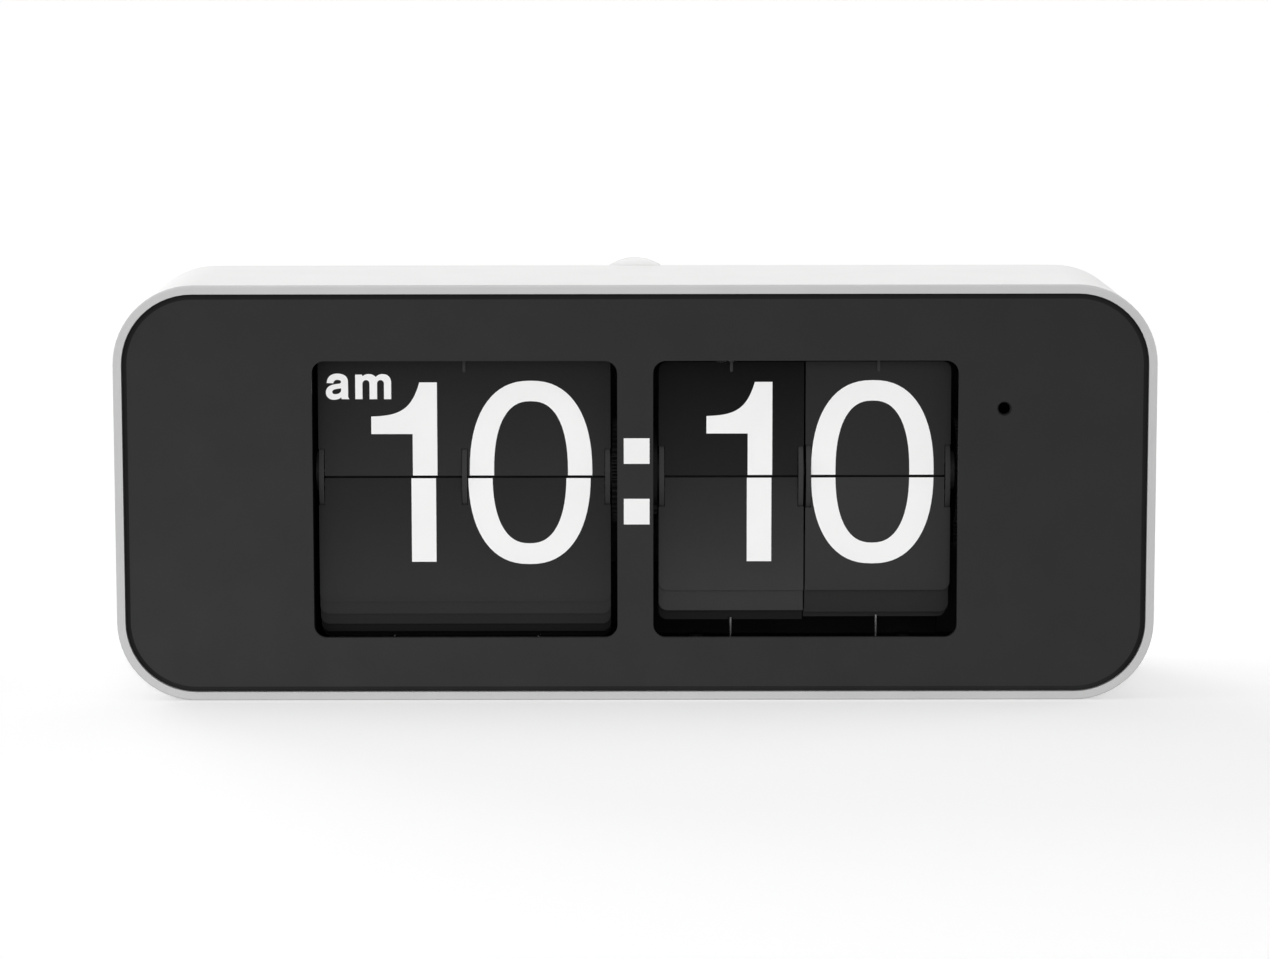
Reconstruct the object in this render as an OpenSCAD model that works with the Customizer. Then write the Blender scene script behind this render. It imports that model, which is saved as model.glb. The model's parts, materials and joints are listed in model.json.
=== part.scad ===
// Flip wall clock: a rounded case, a front panel with two open windows, three split-leaf drums on one axle.
// X to the right, Y to the back, Z up. Origin on the bed, at the middle of the overall box. Millimetres.

/* [Case] */
// Width of the case
case_w = 360; // [350:0.5:400]
// Height of the case
case_h = 144.6; // [142:0.1:160]
// Depth of the case, trim ring to rear edge
case_d = 86; // [85:0.5:100]
// Outer corner radius
case_r = 27.5; // [22:0.5:34]
// Thickness of the trim ring and walls
wall = 2.9; // [2.2:0.1:3.6]
// Radius of the outer edges at the front and back
edge_r = 0.5; // [0.3:0.1:1.4]
// Width of the ledges behind the panel and before the cover
ledge_w = 3.2; // [2:0.1:5]
// Thickness of those ledges
ledge_t = 2.2; // [1.5:0.1:3]

/* [Front panel] */
// Step from the trim ring back to the panel
panel_recess = 0.8; // [0.4:0.1:1.5]
// Panel thickness
panel_t = 2; // [1.6:0.1:2.4]
// Gap round the panel
panel_gap = 0.15; // [0.05:0.05:0.3]
// Width of the bevel round the panel
bevel_w = 1.5; // [0.5:0.1:3]
// Depth of that bevel
bevel_d = 0.5; // [0.2:0.1:1]
// Room beside the leaves in a window, both sides together
win_clear = 3.4; // [2:0.1:6]
// How much nearer together the windows stand than the leaf sets
win_inset = 1; // [0:0.1:1.6]
// Top of the windows above the axle
win_above = 42.3; // [41.8:0.1:44]
// Bottom of the windows below the axle
win_below = 54.3; // [50:0.1:56]
// Corner radius of the windows
win_r = 4.4; // [2:0.1:6]
// Peephole diameter
peep_d = 4; // [2:0.1:4.4]
// Diameter of the peephole's countersink
peep_sink_d = 5; // [4.5:0.1:6]
// Peephole to the right of the middle
peep_x = 127.4; // [122:0.2:140]
// Peephole above the axle
peep_rise = 25.6; // [10:0.2:35]
// Height of the stiffening ribs behind the panel
rib_h = 4; // [2:0.2:6]
// Thickness of the ribs
rib_t = 1.2; // [0.8:0.1:2]
// Room between a window and the rib above or below it
rib_off = 4.5; // [4:0.1:7]

/* [Rear cover] */
// Thickness of the rear cover
cover_t = 2.6; // [2.2:0.1:3.4]
// Step from the shell's rear edge to the cover
cover_inset = 0.6; // [0.2:0.1:1.2]
// Gap round the cover
cover_gap = 0.2; // [0.1:0.05:0.4]
// Thickness of the battery door
door_t = 1.6; // [1.2:0.1:1.8]
// Middle of the battery from the case's left side
cell_edge = 26.8; // [26.5:0.1:34]
// Gap round the door and the setting wheel's slot
door_gap = 0.4; // [0.2:0.1:0.8]
// Width of the lip that carries the door
door_lip = 2.4; // [1.5:0.1:4]
// Wall of the battery bay
bay_wall = 1.6; // [1.2:0.1:2.4]
// Corner radius of the bay and its door
bay_r = 2; // [1:0.1:3]
// Width of the door's grip ribs
grip_w = 10; // [8:0.5:16]
// Pitch of the grip ribs
grip_pitch = 2.4; // [2:0.1:3]
// Thickness of a grip rib
grip_t = 1; // [0.6:0.1:1.4]
// Height of the grip ribs
grip_h = 0.6; // [0.3:0.1:1]
// Grip ribs' middle below the bay's upper end
grip_drop = 8; // [7:0.5:14]

/* [Hanger] */
// Radius of the hanger's round top
hang_r = 17.2; // [14:0.1:20]
// Height of the hanger above the case
hang_rise = 2.6; // [2:0.1:5]
// Length of the hanger below its round top
hang_drop = 14; // [10:0.5:20]
// Thickness of the hanger
hang_t = 1.6; // [1.2:0.1:2]
// Room for a screw head behind the hanger
hang_gap = 2.6; // [2:0.1:4]
// Diameter of the keyhole's entry
key_d = 9; // [8:0.1:10]
// Width of the keyhole's slot
key_slot = 5; // [4:0.1:5.4]
// Height of the slot above the entry
key_rise = 8; // [6:0.2:9]
// Keyhole's entry below the middle of the round top
key_drop = 5; // [3:0.2:7]
// Hanger's screws from its edges
hang_edge = 5.2; // [4.6:0.1:6.4]

/* [Leaves] */
// Width of an hour leaf
hour_leaf_w = 102; // [98:0.2:104]
// Room between the hour and minute leaves
mid_gap = 16.8; // [16.4:0.1:20]
// Room between the tens and minute leaves
leaf_gap = 0.6; // [0.4:0.1:1.2]
// Leaf sets' middle from the case's middle
mech_x = -0.2; // [-1:0.1:1]
// Leaf thickness
leaf_t = 0.5; // [0.3:0.05:0.6]
// Tip of an upper hour leaf above the axle
hour_reach = 44.2; // [42:0.1:44.6]
// Tip of an upper minute leaf above the axle
minute_reach = 40.3; // [38:0.1:42]
// Gap at the split between upper and lower leaf
split_gap = 0.8; // [0.4:0.1:1.2]
// Radius of a leaf's free corners
leaf_r = 3; // [1:0.1:5]
// Room between a leaf's notches and the discs' rims
notch_fit = 0.35; // [0.2:0.05:0.6]
// Width of a leaf's ears
ear_w = 1; // [0.8:0.05:1.4]
// Clearance of the ears in their holes
ear_fit = 0.06; // [0.03:0.01:0.1]
// Leaf plane behind the panel's face
leaf_setback = 16; // [15.5:0.1:18]

/* [Drums] */
// Leaves on the hour drum
hour_n = 24; // [24]
// Leaves on the tens drum
tens_n = 12; // [12]
// Leaves on the minute drum
units_n = 10; // [10]
// Radius of the circle of leaf pivots
pin_r = 17.5; // [16.5:0.1:18]
// Rim of the discs outside the pivots
disc_rim = 2.1; // [1.6:0.1:3]
// Thickness of the discs
disc_t = 1.7; // [1.2:0.1:2]
// Gap between discs and the leaves beside them
disc_gap = 0.2; // [0.15:0.05:0.4]
// Hub radius
hub_r = 7; // [6:0.1:8]
// Step from the hubs down to their gear seats
seat_step = 1.6; // [1:0.1:1.8]
// Least wall of a gear seat
seat_wall = 1.2; // [1:0.05:1.4]
// Wall of the tens tube
tube_wall = 1.95; // [1.6:0.05:2.2]
// Radius of the fixed axle
axle_r = 2; // [1.6:0.1:2.4]
// Length of the axle outside the plates
axle_end = 3; // [2.4:0.1:5]
// Depth of the axle's clip grooves
clip_groove = 0.4; // [0.2:0.05:0.6]
// Thickness of the axle's clips
clip_t = 0.7; // [0.5:0.05:1]
// Width of the axle's clips outside the axle
clip_w = 1.8; // [1.2:0.1:2.4]
// Running clearance of the bores
run_fit = 0.05; // [0.02:0.01:0.09]
// Seat clearance of pressed-on gears
seat_fit = 0.02; // [0.01:0.01:0.04]
// End play of the drums
end_play = 0.3; // [0.1:0.05:0.5]
// Axle above the middle of the case
axle_rise = 3.9; // [2:0.05:5]

/* [Gears] */
// Gear module
gm = 0.75; // [0.7:0.01:0.8]
// Pressure angle
gear_pa = 25; // [22:0.5:27]
// Tooth height above the pitch circle, in modules
gear_add = 0.9; // [0.8:0.02:0.95]
// Tooth depth below the pitch circle, in modules
gear_ded = 1.2; // [1.1:0.02:1.3]
// Backlash
backlash = 0.14; // [0.08:0.01:0.2]
// Face width of the gears
gear_face = 2.5; // [2:0.1:2.8]
// Side gap between neighbouring gears
gear_gap = 0.5; // [0.4:0.05:0.8]
// Room between a cam's blank and a pinion's tips
cam_room = 0.8; // [0.4:0.1:1.2]
// Radius of the small shafts
shaft_r = 1.5; // [1.2:0.1:1.7]

/* [Chassis] */
// Thickness of the bearing plates and the top bar
plate_t = 2; // [1.5:0.1:2.4]
// Room between a plate's front edge and the panel
plate_front = 4.2; // [4.1:0.1:8]
// Length of a plate behind the axle
plate_back = 30; // [28:0.5:40]
// Length of the right plate behind the setting wheel's shaft
set_edge = 8; // [6:0.5:10]
// Top of a plate's straight rear edge above the axle
plate_rise = 12; // [8:0.5:20]
// Foot of a plate's straight upper front edge above the axle
plate_neck = 24; // [20:0.5:30]
// Underside of the top bar above the axle
bar_rise = 50; // [49:0.5:54]
// Width of the top bar
bar_w = 14; // [10:0.5:18]
// Width of the plates' flanges
flange_w = 9; // [8:0.5:12]
// Screws' distance from the ends of the flanges
flange_end = 8; // [5:0.5:10]
// Thickness of the base tray
tray_t = 2; // [1.6:0.1:3]
// Height of the case posts that carry the tray
post_h = 5; // [3:0.2:6]
// Radius of the posts
post_r = 4.2; // [3.6:0.1:5]
// Outer posts' distance inside the leaf sets
post_side = 13; // [12:0.5:20]
// Inner posts' distance from the leaf sets' inner edges
post_mid = 14; // [12:0.5:24]
// Posts' distance from the tray's front and rear edges
post_end = 11; // [8:0.5:16]
// Overhang of the tray past the plates
tray_over = 1; // [0.5:0.5:4]
// Height of the tray's rear wall
tray_wall_h = 26; // [20:0.5:34]
// Radius of the guide pins under the leaves
guide_r = 0.4; // [0.3:0.05:0.6]
// Guide pins before the axle
guide_fwd = 9.6; // [9:0.1:10.4]
// Gap between the guide pins and the leaves that pass over them
guide_gap = 0.4; // [0.3:0.05:0.6]
// Gap between the tray and the rear cover
tray_gap = 1.5; // [0.5:0.1:3]
// Width of a leaf catch
catch_w = 1; // [0.8:0.1:2]
// Thickness of a leaf catch
catch_t = 0.4; // [0.3:0.05:0.5]
// Gap between a catch and its leaf
catch_gap = 0.3; // [0.15:0.05:0.5]
// Tip of the catches above the axle
catch_tip = 36.8; // [34:0.2:39]
// Catch screws behind the top bar's front edge
catch_back = 4.5; // [4:0.1:6]

/* [Movement and battery] */
// Depth of the movement housing
move_d = 38; // [34:0.5:40]
// Height of the movement housing
move_h = 40; // [34:0.5:44]
// Thickness of the movement housing
move_t = 16; // [12:0.5:20]
// Corner radius of the housing
move_r = 4; // [2:0.5:6]
// Middle of the housing below the motor pinion
move_drop = 3; // [0:0.5:6]
// Radius of the round cap on the housing
cap_r = 12; // [8:0.5:15]
// Height of that cap
cap_h = 2; // [1:0.1:3]
// Thickness of the housing's ears
ear_t = 3; // [2:0.1:4]
// Length of an ear past its screw
ear_end = 4.4; // [3.6:0.1:5.2]
// Gap between the housing and the heads of its screws
ear_gap = 0.6; // [0.3:0.1:1.2]
// Thickness of the setting wheel
wheel_t = 8; // [5:0.2:10]
// Height of the setting wheel outside the case
wheel_proud = 3.2; // [2:0.1:4]
// Grooves round the setting wheel
wheel_n = 30; // [20:1:40]
// Radius of those grooves
groove_r = 0.5; // [0.3:0.05:0.7]
// Setting wheel's distance from the right plate
wheel_off = 4; // [3:0.2:6]
// Battery diameter
cell_d = 34.2; // [33:0.1:34.4]
// Battery length
cell_l = 61.5; // [60:0.1:62]
// Bevel of the battery's edges
cell_bevel = 1; // [0.4:0.1:2]
// Radius of the battery's raised pole
pole_r = 4.8; // [4:0.1:6]
// Height of that pole
pole_h = 2; // [1.5:0.1:2.5]
// Room round the battery
cell_room = 0.8; // [0.4:0.1:1.5]
// Room for a contact at each end of the battery
contact_room = 2.4; // [2:0.1:4]
// Thickness of the contacts
contact_t = 0.5; // [0.3:0.05:0.8]
// Width of the contacts
contact_w = 10; // [6:0.5:14]
// Length of the contacts
contact_l = 18; // [14:0.5:24]
// Length of the contacts' bend
bend_l = 8; // [6:0.5:12]
// Gap between a contact and the battery
contact_gap = 0.2; // [0.1:0.05:0.4]

/* [Screws] */
// Radius of the screws
screw_r = 1.3; // [1:0.05:1.5]
// Clearance of the screws in their holes
screw_fit = 0.2; // [0.12:0.01:0.3]
// Radius of the screw heads
head_r = 2.8; // [2.4:0.1:3.2]
// Height of the screw heads
head_h = 1.6; // [1.2:0.1:2]
// Depth of a screw in its post
screw_grip = 7; // [5:0.2:9]
// Floor under a blind screw hole
blind_floor = 0.4; // [0.3:0.05:0.6]
// Room between a screw's end and that floor
blind_room = 0.1; // [0.05:0.05:0.3]
// Radius of the bosses on the case and panel
boss_r = 3.4; // [3:0.1:4]
// Length of the bosses on the case
boss_l = 12; // [10:0.2:16]
// Depth to which the bosses sink into the shell's wall
boss_sink = 0.3; // [0.1:0.1:0.4]
// Radius of the pegs behind the panel
peg_r = 2.5; // [2.2:0.1:2.6]
// Wall of the shell's rings round those pegs
ring_w = 2.5; // [1.6:0.1:3]

/* [Hidden] */
$fn = 64;
eps = 0.01;

// depth: everything is placed from the trim ring's plane
cover_out = case_d - cover_inset;
cover_in = cover_out - cover_t;
hang_out = cover_out + hang_gap + hang_t;
rear_proud = max(hang_out + head_h - case_d, wheel_proud);
y0 = -(case_d + rear_proud) / 2;
trim_d = panel_recess + panel_t;
panel_y = y0 + panel_recess;
panel_back = y0 + trim_d;
cover_y = y0 + cover_in;
cover_face = y0 + cover_out;
hour_pitch = 360 / hour_n;
tens_pitch = 360 / tens_n;
units_pitch = 360 / units_n;
ay = panel_y + leaf_setback + pin_r * cos(hour_pitch / 2);
az = case_h / 2 + axle_rise;

// leaf sets along X
minute_leaf_w = (hour_leaf_w - leaf_gap) / 2;
hx1 = mech_x - mid_gap / 2;
hx0 = hx1 - hour_leaf_w;
tx0 = mech_x + mid_gap / 2;
tx1 = tx0 + minute_leaf_w;
ux0 = tx1 + leaf_gap;
ux1 = ux0 + minute_leaf_w;
disc_r = pin_r + disc_rim;
ear_hole_r = sqrt(pow(ear_w, 2) + pow(leaf_t, 2)) / 2 + ear_fit;
notch_w = disc_t + 2 * disc_gap;

// bores and seats
axle_bore = axle_r + run_fit;
tube_r = axle_bore + tube_wall;
units_bore = tube_r + run_fit;
seat_r = hub_r - seat_step;
units_seat_r = max(seat_r, units_bore + seat_wall);
tube_seat_r = axle_bore + seat_wall;

// gears: teeth, distances
hour_z = 48;
pinion_z = 12;
tens_z = 40;
tens_pinion_z = 20;
idler_z = 20;
set_z = 18;
function mesh(a, b) = gm * (a + b) / 2;
carry_d = mesh(hour_z, pinion_z);
idler_d = mesh(hour_z, idler_z);
set_d = idler_d + mesh(idler_z, set_z);
function tip_r(z) = gm * (z / 2 + gear_add);
cam_r = carry_d - tip_r(pinion_z) - cam_room;

// gears along X
centre_x0 = mech_x - plate_t / 2;
centre_x1 = mech_x + plate_t / 2;
hour_gear_x = hx1 + gear_gap;
hour_cam_x = tx0 - gear_gap - gear_face;
drive_x = ux1 + disc_gap + 4 * gear_gap;
tens_cam_x = drive_x + gear_face + gear_gap;
tens_gear_x = tens_cam_x + gear_face + 2 * gear_gap;
right_x = tens_gear_x + gear_face + 4 * gear_gap;
left_x = hx0 - 4 * gear_gap - plate_t;
wheel_x = right_x + plate_t + wheel_off;
wheel_y = ay + set_d;
wheel_r = y0 + case_d + wheel_proud - wheel_y;

// heights
tray_z = wall + post_h;
tray_top = tray_z + tray_t;
bar_z = az + bar_rise;
plate_y0 = panel_back + plate_front;
tray_y0 = plate_y0;
tray_y1 = cover_y - tray_gap;
set_back = set_d + set_edge;
bar_y0 = ay - pin_r * cos(hour_pitch / 2) + leaf_t / 2 + catch_t;
win_w = hour_leaf_w + win_clear;
win_x = (hour_leaf_w + mid_gap - win_inset) / 2;
win_h = win_above + win_below;
win_z = az + (win_above - win_below) / 2;

// battery
cell_x = case_w / 2 - cell_edge;
cell_r = cell_d / 2;
cell_y = cover_y - cell_room - cell_r;
cell_z0 = (case_h - cell_l) / 2;
bay_w = cell_d + 2 * cell_room;
bay_h = cell_l + 2 * contact_room;
bay_d = cell_d + 2 * cell_room;
bay_z = case_h / 2;

// holes for the screws, loose and tight
hole_r = screw_r + screw_fit;
tap_r = screw_r + screw_fit / 2;

// corner bosses, a fixed way in from the shell's corner arcs
boss_in = wall + boss_r - boss_sink;
boss_off = (case_r - boss_in) / sqrt(2);
boss_x = case_w / 2 - case_r + boss_off;
boss_dz = case_h / 2 - case_r + boss_off;
corners = [for (x = [-1, 1], z = [-1, 1]) [x * boss_x, case_h / 2 + z * boss_dz]];
post_x = [hx0 + post_side, hx1 - post_mid, tx0 + post_mid, ux1 - post_side];
post_y = [tray_y0 + post_end, tray_y1 - post_end];
// guide pins: x, and how far their tips stay below the axle, just under the path of the leaves' tips
function guide_drop(pitch, reach) = reach - pin_r * sin(pitch / 2)
    + sqrt(pow(pin_r, 2) - pow(guide_fwd - guide_r - leaf_t / 2, 2)) + guide_gap;
hour_guide = guide_drop(hour_pitch, hour_reach);
guides = [[hx0 + hour_leaf_w / 4, hour_guide], [hx1 - hour_leaf_w / 4, hour_guide],
    [(tx0 + tx1) / 2, guide_drop(tens_pitch, minute_reach)],
    [(ux0 + ux1) / 2, guide_drop(units_pitch, minute_reach)]];
flange_y = [plate_y0 + flange_end, ay + plate_back - flange_end];
hang_y = cover_face + hang_gap;
hang_z = case_h + hang_rise - hang_r;
hang_screw_dx = hang_r - hang_edge;
hang_screw_z = hang_z - hang_drop + hang_edge;
key_z = hang_z - key_drop;

// helpers: a shape drawn in X and Z, thickened to the back; one drawn in Y and Z, thickened to the right
module along_y(y, t) translate([0, y + t, 0]) rotate([90, 0, 0]) linear_extrude(t) children();
module along_x(x, t) translate([x, 0, 0]) rotate([90, 0, 90]) linear_extrude(t) children();
module rod_x(x, t, r) along_x(x, t) circle(r);
module rod_y(x, y, z, t, r) translate([x, 0, z]) along_y(y, t) circle(r);

module rounded(w, h, r) {
    square([w - 2 * r, h], center = true);
    square([w, h - 2 * r], center = true);
    for (x = [-1, 1], y = [-1, 1]) translate([x * (w / 2 - r), y * (h / 2 - r)]) circle(r);
}

// sweeps a wall profile (x outward, y to the back) round a rounded rectangle in X and Z
module ring_sweep(w, h, r) {
    for (k = [0:3]) {
        a = k % 2 == 0 ? w : h;
        b = k % 2 == 0 ? h : w;
        rotate([0, -90 * k, 0]) {
            translate([a / 2, 0, -(b / 2 - r)]) linear_extrude(b - 2 * r) children();
            translate([a / 2 - r, 0, -(b / 2 - r)]) rotate([-90, 0, 0])
                rotate_extrude(angle = 90) translate([r, 0]) children();
        }
    }
}

// a hole down through a plate of thickness t whose underside is at z
module bore(x, y, z, t, r) translate([x, y, z - 1]) cylinder(r = r, h = t + 2);

// a screw along +Z with its head's underside at the origin
module screw(l) {
    translate([0, 0, -l]) cylinder(r = screw_r, h = l + eps);
    cylinder(r = head_r, h = head_h);
}
module screw_down(l) screw(l);
module screw_front(l) rotate([-90, 0, 0]) screw(l);

// involute teeth
function inv_deg(rb, r) = let (a = acos(min(1, rb / r))) tan(a) * 180 / PI - a;
function half_tooth(z, r) = let (rp = gm * z / 2, rb = rp * cos(gear_pa))
    90 / z - backlash / 4 / rp * 180 / PI + inv_deg(rb, rp) - inv_deg(rb, max(r, rb));
function polar(r, a) = [r * cos(a), r * sin(a)];
function root_r(z) = gm * (z / 2 - gear_ded);
function flank(z) = let (rb = gm * z / 2 * cos(gear_pa), a = max(root_r(z), rb), b = tip_r(z))
    [a, (a + b) / 2, b];
function tooth(z, c) = concat([polar(root_r(z), c - half_tooth(z, root_r(z)))],
    [for (r = flank(z)) polar(r, c - half_tooth(z, r))],
    [for (i = [2:-1:0]) polar(flank(z)[i], c + half_tooth(z, flank(z)[i]))],
    [polar(root_r(z), c + half_tooth(z, root_r(z)))]);
module gear2(z, rot) polygon([for (i = [0:z - 1]) each tooth(z, rot + i * 360 / z)]);
// a blank with pairs of teeth of a wheel of z teeth, each pair about one of the given directions
module cam2(z, dirs) {
    circle(cam_r);
    for (d = dirs, s = [-1, 1])
        polygon(concat([polar(cam_r - 2, d + s * 180 / z)], tooth(z, d + s * 180 / z)));
}
// turn of wheel b that meshes with wheel a, turned by rot, in direction dir
function meshed(za, rot, zb, dir) = dir + 180 + 180 / zb - (rot - dir) * za / zb;

hour_pin_rot = meshed(hour_z, 0, pinion_z, 0);
tens_pin_rot = meshed(tens_z, 0, tens_pinion_z, 90);
motor_rot = meshed(hour_z, 0, pinion_z, -90);
idler_rot = meshed(hour_z, 0, idler_z, 0);
set_rot = meshed(idler_z, idler_rot, set_z, 0);

// one leaf in its plane: x across, y from the pivot to the tip; a side is 1 where its free corner is round
module leaf2(w, pitch, reach, slot, sides) {
    half = pitch / 2;
    drop = pin_r * sin(half);
    tip = reach - drop;
    low = split_gap / 2 - drop;
    notch = sqrt(pow(disc_r, 2) - pow(pin_r * cos(half) - leaf_t / 2, 2)) - drop + notch_fit;
    difference() {
        union() {
            translate([notch_w, low]) square([w - 2 * notch_w, notch - low + 1]);
            translate([0, notch]) square([w, tip - leaf_r - notch]);
            translate([leaf_r * sides[0], notch]) square([w - leaf_r * (sides[0] + sides[1]), tip - notch]);
            for (i = [0, 1]) if (sides[i] > 0)
                translate([i == 0 ? leaf_r : w - leaf_r, tip - leaf_r]) circle(leaf_r, $fn = 32);
            translate([disc_gap / 2, -ear_w / 2]) square([w - disc_gap, ear_w]);
        }
        if (slot > 0) translate([w / 2 - slot / 2, low - 1]) square([slot, notch - low + 1]);
    }
}
// a leaf at pivot k of n: it leans as the display leaf turned back by k steps, or hangs
module leaf(x, w, n, reach, k, hang, slot, sides) {
    pitch = 360 / n;
    a = pitch / 2 + k * pitch;
    translate([x, ay - pin_r * cos(a), az + pin_r * sin(a)])
        rotate([hang ? -90 : 90 - k * pitch, 0, 0])
            translate([0, 0, -leaf_t / 2]) linear_extrude(leaf_t) leaf2(w, pitch, reach, slot, sides);
}
module hour_leaf(k, hang) color("#2b2b2d")
    leaf(hx0, hour_leaf_w, hour_n, hour_reach, k, hang, notch_w, [1, 1]);
module tens_leaf(k, hang) color("#2b2b2d")
    leaf(tx0, minute_leaf_w, tens_n, minute_reach, k, hang, 0, [1, 0]);
module units_leaf(k, hang) color("#2b2b2d")
    leaf(ux0, minute_leaf_w, units_n, minute_reach, k, hang, 0, [0, 1]);

module disc2(n, bore) difference() {
    circle(disc_r);
    circle(bore);
    for (k = [0:n - 1]) rotate(180 - (k + 0.5) * 360 / n) translate([pin_r, 0]) circle(ear_hole_r, $fn = 16);
}
module tube2(r, bore) difference() {
    circle(r);
    circle(bore);
}
module at_axle() translate([0, ay, az]) children();

module hour_drum() color("#4a4a4c") at_axle() {
    for (x = [hx0 + disc_gap, (hx0 + hx1 - disc_t) / 2, hx1 - disc_gap - disc_t])
        along_x(x, disc_t) if (x > hx0 + disc_t && x < hx1 - 2 * disc_t) tube2(disc_r, axle_bore);
            else disc2(hour_n, axle_bore);
    along_x(left_x + plate_t + end_play, hour_gear_x - left_x - plate_t - end_play) tube2(hub_r, axle_bore);
    along_x(hour_gear_x - eps, centre_x0 - end_play - hour_gear_x + eps) tube2(seat_r, axle_bore);
}
module hour_gear() color("#c9c4b4") at_axle() along_x(hour_gear_x, gear_face) difference() {
    gear2(hour_z, 0);
    circle(seat_r + seat_fit);
}
module hour_carry_cam() color("#c9c4b4") at_axle() along_x(hour_cam_x, gear_face) difference() {
    cam2(hour_z, [1.5 * tens_pitch, 1.5 * tens_pitch + 180]);
    circle(seat_r + seat_fit);
}
module tens_drum() color("#4a4a4c") at_axle() {
    for (x = [tx0 + disc_gap, tx1 - disc_gap - disc_t]) along_x(x, disc_t) disc2(tens_n, axle_bore);
    along_x(hour_cam_x + gear_face, tx1 - disc_gap - hour_cam_x - gear_face) tube2(hub_r, axle_bore);
    along_x(centre_x1 + end_play, hour_cam_x + gear_face - centre_x1 - end_play + eps)
        tube2(seat_r, axle_bore);
    along_x(tx1 - disc_gap - eps, tens_gear_x - tx1 + disc_gap + eps) tube2(tube_r, axle_bore);
    along_x(tens_gear_x - eps, right_x - end_play - tens_gear_x + eps) tube2(tube_seat_r, axle_bore);
}
module tens_gear() color("#c9c4b4") at_axle() along_x(tens_gear_x, gear_face) difference() {
    gear2(tens_z, 0);
    circle(tube_seat_r + seat_fit);
}
module units_drum() color("#4a4a4c") at_axle() {
    for (x = [ux0 + disc_gap, ux1 - disc_gap - disc_t]) along_x(x, disc_t) disc2(units_n, units_bore);
    along_x(ux0 + disc_gap, drive_x - ux0 - disc_gap) tube2(hub_r, units_bore);
    along_x(drive_x - eps, tens_gear_x - end_play - drive_x + eps) tube2(units_seat_r, units_bore);
}
module units_drive_gear() color("#c9c4b4") at_axle() along_x(drive_x, gear_face) difference() {
    gear2(hour_z, 0);
    circle(units_seat_r + seat_fit);
}
module tens_carry_cam() color("#c9c4b4") at_axle() along_x(tens_cam_x, gear_face) difference() {
    cam2(hour_z, [90 + units_pitch / 2]);
    circle(units_seat_r + seat_fit);
}

module hour_upper_leaf() hour_leaf(0, false);
module hour_lower_leaf() hour_leaf(-1, true);
module hour_waiting_leaves() for (k = [1:hour_n / 2 - 1]) hour_leaf(k, false);
module hour_spent_leaves() for (k = [hour_n / 2:hour_n - 2]) hour_leaf(k, true);
module tens_upper_leaf() tens_leaf(0, false);
module tens_lower_leaf() tens_leaf(-1, true);
module tens_waiting_leaves() for (k = [1:tens_n / 2 - 1]) tens_leaf(k, false);
module tens_spent_leaves() for (k = [tens_n / 2:tens_n - 2]) tens_leaf(k, true);
module units_upper_leaf() units_leaf(0, false);
module units_lower_leaf() units_leaf(-1, true);
module units_waiting_leaves() for (k = [1:units_n / 2 - 1]) units_leaf(k, false);
module units_spent_leaves() for (k = [units_n / 2:units_n - 2]) units_leaf(k, true);

// carry pinions: two toothed ends on one shaft
module hour_carry_pinion() color("#c9c4b4") translate([0, ay + carry_d, az]) {
    for (x = [hour_gear_x, hour_cam_x]) along_x(x, gear_face) gear2(pinion_z, hour_pin_rot);
    rod_x(hour_gear_x + eps, hour_cam_x - hour_gear_x, shaft_r);
}
module tens_carry_pinion() color("#c9c4b4") translate([0, ay, az + carry_d]) {
    along_x(tens_cam_x, gear_face) gear2(pinion_z, tens_pin_rot);
    along_x(tens_gear_x, gear_face) gear2(tens_pinion_z, tens_pin_rot);
    rod_x(tens_cam_x + eps, right_x + plate_t - tens_cam_x, shaft_r);
}
module motor_pinion() color("#c9c4b4") translate([0, ay, az - carry_d]) {
    along_x(drive_x, gear_face) gear2(pinion_z, motor_rot);
    rod_x(drive_x + eps, right_x + plate_t + move_t / 2 - drive_x, shaft_r);
}
module setting_idler() color("#c9c4b4") translate([0, ay + idler_d, az])
    along_x(drive_x, gear_face) difference() {
        gear2(idler_z, idler_rot);
        circle(shaft_r + run_fit);
    }
module setting_wheel() color("#dadad8") translate([0, wheel_y, az]) {
    along_x(drive_x, gear_face) gear2(set_z, set_rot);
    rod_x(drive_x + eps, wheel_x + wheel_t - drive_x - eps, shaft_r);
    along_x(wheel_x, wheel_t) difference() {
        circle(wheel_r);
        for (k = [0:wheel_n - 1]) rotate(k * 360 / wheel_n)
            translate([wheel_r, 0]) circle(groove_r, $fn = 16);
    }
    rod_x(right_x + plate_t + end_play, wheel_x - right_x - plate_t - end_play + eps, 2 * shaft_r);
}

// chassis
module plate2(back) {
    polygon([[plate_y0, tray_top], [ay + back, tray_top], [ay + back, az + plate_rise], [ay + bar_w, bar_z],
        [bar_y0, bar_z], [bar_y0, az + plate_neck], [plate_y0, az]]);
}
// a bearing plate with its foot and its head bent to the right
module plate(x, back) {
    along_x(x, plate_t) difference() {
        plate2(back);
        translate([ay, az]) circle(axle_r + seat_fit);
        children();
    }
    difference() {
        union() {
            translate([x, plate_y0, tray_top]) cube([flange_w, ay + back - plate_y0, plate_t]);
            translate([x, bar_y0, bar_z - plate_t]) cube([flange_w, bar_w - bar_y0 + ay, plate_t]);
        }
        for (p = feet(x)) bore(p[0], p[1], p[2], plate_t, hole_r);
    }
}
function feet(x) = let (fx = x + flange_w - head_r - screw_fit)
    [[fx, flange_y[0], tray_top], [fx, flange_y[1], tray_top], [fx, ay + bar_w / 3, bar_z - plate_t]];
all_feet = concat(feet(left_x), feet(centre_x0), feet(right_x));
module left_plate() color("#202022") plate(left_x, plate_back);
module centre_plate() color("#202022") plate(centre_x0, plate_back)
    translate([ay + carry_d, az]) circle(shaft_r + run_fit);
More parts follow.
